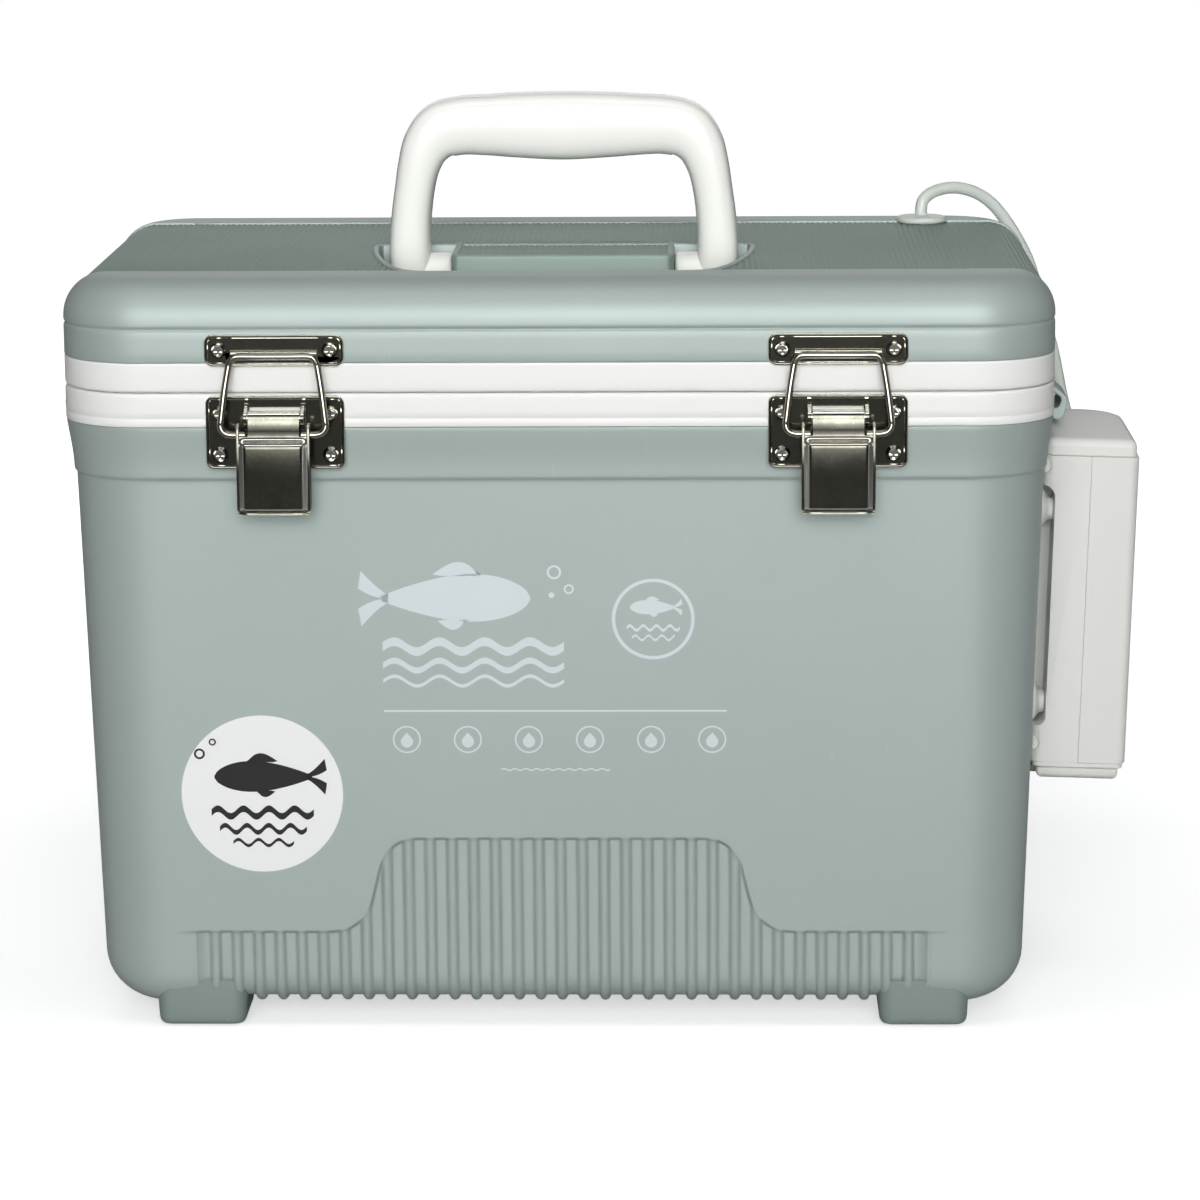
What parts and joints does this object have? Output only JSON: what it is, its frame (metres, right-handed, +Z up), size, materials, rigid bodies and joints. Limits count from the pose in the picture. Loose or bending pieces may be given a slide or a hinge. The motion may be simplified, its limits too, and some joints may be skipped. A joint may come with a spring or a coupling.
{
  "type": "aerated bait bucket",
  "caption": "Hard insulated live-bait cooler with a hinged latched lid, fold-down carry handle, tank liner and a wall-hung battery air pump feeding an air stone through a hose.",
  "frame": {"origin": "centre of the base, on the floor between the feet", "axes": "+X to the right seen from the front, across the latches; +Y to the back, to the hinges; +Z up"},
  "size_m": [0.4197, 0.2496, 0.3485],
  "materials": {
    "shell": "satin",
    "white": "satin",
    "foam": "matte",
    "gasket": "matte",
    "nickel": "polished",
    "steel": "polished",
    "silicone": "satin",
    "stone": "rough",
    "pump_white": "satin",
    "bracket": "satin",
    "motor": "brushed",
    "cam": "satin",
    "dark_rubber": "matte",
    "battery": "satin",
    "board": "satin",
    "grey": "satin",
    "dark": "satin",
    "lens": "clear"
  },
  "bodies": {
    "bucket": {"outer_shell": "shell", "inner_liner": "white", "body_insulation": "foam", "hinge_body_leaf_left": "steel", "hinge_body_leaf_right": "steel", "hinge_pins": "steel", "hinge_screws_body": "steel", "latch_base_left": "nickel", "latch_base_right": "nickel", "latch_pin_left": "steel", "latch_pin_right": "steel", "latch_base_screws": "steel", "air_hose_outer": "silicone", "air_hose_inner": "silicone", "air_stone": "stone", "pump_wall_shell": "pump_white", "pump_outer_shell": "pump_white", "pump_top_cap": "pump_white", "pump_bottom_cap": "pump_white", "pump_bracket": "bracket", "pump_standoffs": "pump_white", "pump_mount_screws": "steel", "pump_motor": "motor", "pump_diaphragm": "dark_rubber", "pump_head": "pump_white", "pump_outlet_barb": "pump_white", "pump_battery": "battery", "pump_board": "board", "pump_switch": "dark", "pump_lens": "lens", "pump_charge_port": "dark", "pump_screws": "steel"},
    "lid": {"lid_shell": "shell", "lid_liner": "white", "lid_insulation": "foam", "lid_gasket": "gasket", "handle_pins": "steel", "hinge_lid_leaf_left": "steel", "hinge_lid_leaf_right": "steel", "hinge_screws_lid": "steel", "latch_strike_left": "nickel", "latch_strike_right": "nickel", "latch_strike_screws": "steel", "hose_grommet": "silicone"},
    "handle": {"carry_handle": "white"},
    "lever_left": {"latch_lever_left": "nickel"},
    "lever_right": {"latch_lever_right": "nickel"},
    "bail_left": {"latch_bail_left": "steel"},
    "bail_right": {"latch_bail_right": "steel"},
    "button": {"pump_button": "grey"},
    "port_cover": {"pump_port_cover": "grey"},
    "cam": {"pump_eccentric": "cam"}
  },
  "joints": [
    {"name": "lid_hinge", "type": "hinge", "parent": "bucket", "child": "lid", "pos_m": [0, 0.1178, 0.24635], "axis": [-1, 0, 0], "range_deg": [0, 100], "deforming": ["air_hose_outer", "air_hose_inner"]},
    {"name": "handle_fold", "type": "hinge", "parent": "lid", "child": "handle", "pos_m": [0, -0.008, 0.276], "axis": [1, 0, 0], "range_deg": [0, 90]},
    {"name": "latch_lever_left", "type": "hinge", "parent": "bucket", "child": "lever_left", "pos_m": [-0.104, -0.1184, 0.2378], "axis": [-1, 0, 0], "range_deg": [0, 140]},
    {"name": "latch_bail_left", "type": "hinge", "parent": "lever_left", "child": "bail_left", "pos_m": [-0.104, -0.1224, 0.2322], "axis": [-1, 0, 0], "range_deg": [-170, 0]},
    {"name": "latch_lever_right", "type": "hinge", "parent": "bucket", "child": "lever_right", "pos_m": [0.104, -0.1184, 0.2378], "axis": [-1, 0, 0], "range_deg": [0, 140]},
    {"name": "latch_bail_right", "type": "hinge", "parent": "lever_right", "child": "bail_right", "pos_m": [0.104, -0.1224, 0.2322], "axis": [-1, 0, 0], "range_deg": [-170, 0]},
    {"name": "button_press", "type": "slide", "parent": "bucket", "child": "button", "axis": [-0.9995, 0, 0.0314], "range_m": [0, 0.0012], "stiffness_N_per_m": 400},
    {"name": "port_cover_hinge", "type": "hinge", "parent": "bucket", "child": "port_cover", "pos_m": [0.21946, -0.004, 0.10332], "axis": [0, 1, 0], "range_deg": [0, 90]},
    {"name": "cam_spin", "type": "hinge", "parent": "bucket", "child": "cam", "pos_m": [0.20707, -0.0068, 0.19625], "axis": [0, 1, 0], "continuous": true}
  ],
  "couplings": [
    {"joint": "latch_bail_left", "follows": "latch_lever_left", "ratio": -1.2},
    {"joint": "latch_bail_right", "follows": "latch_lever_right", "ratio": -1.2}
  ]
}
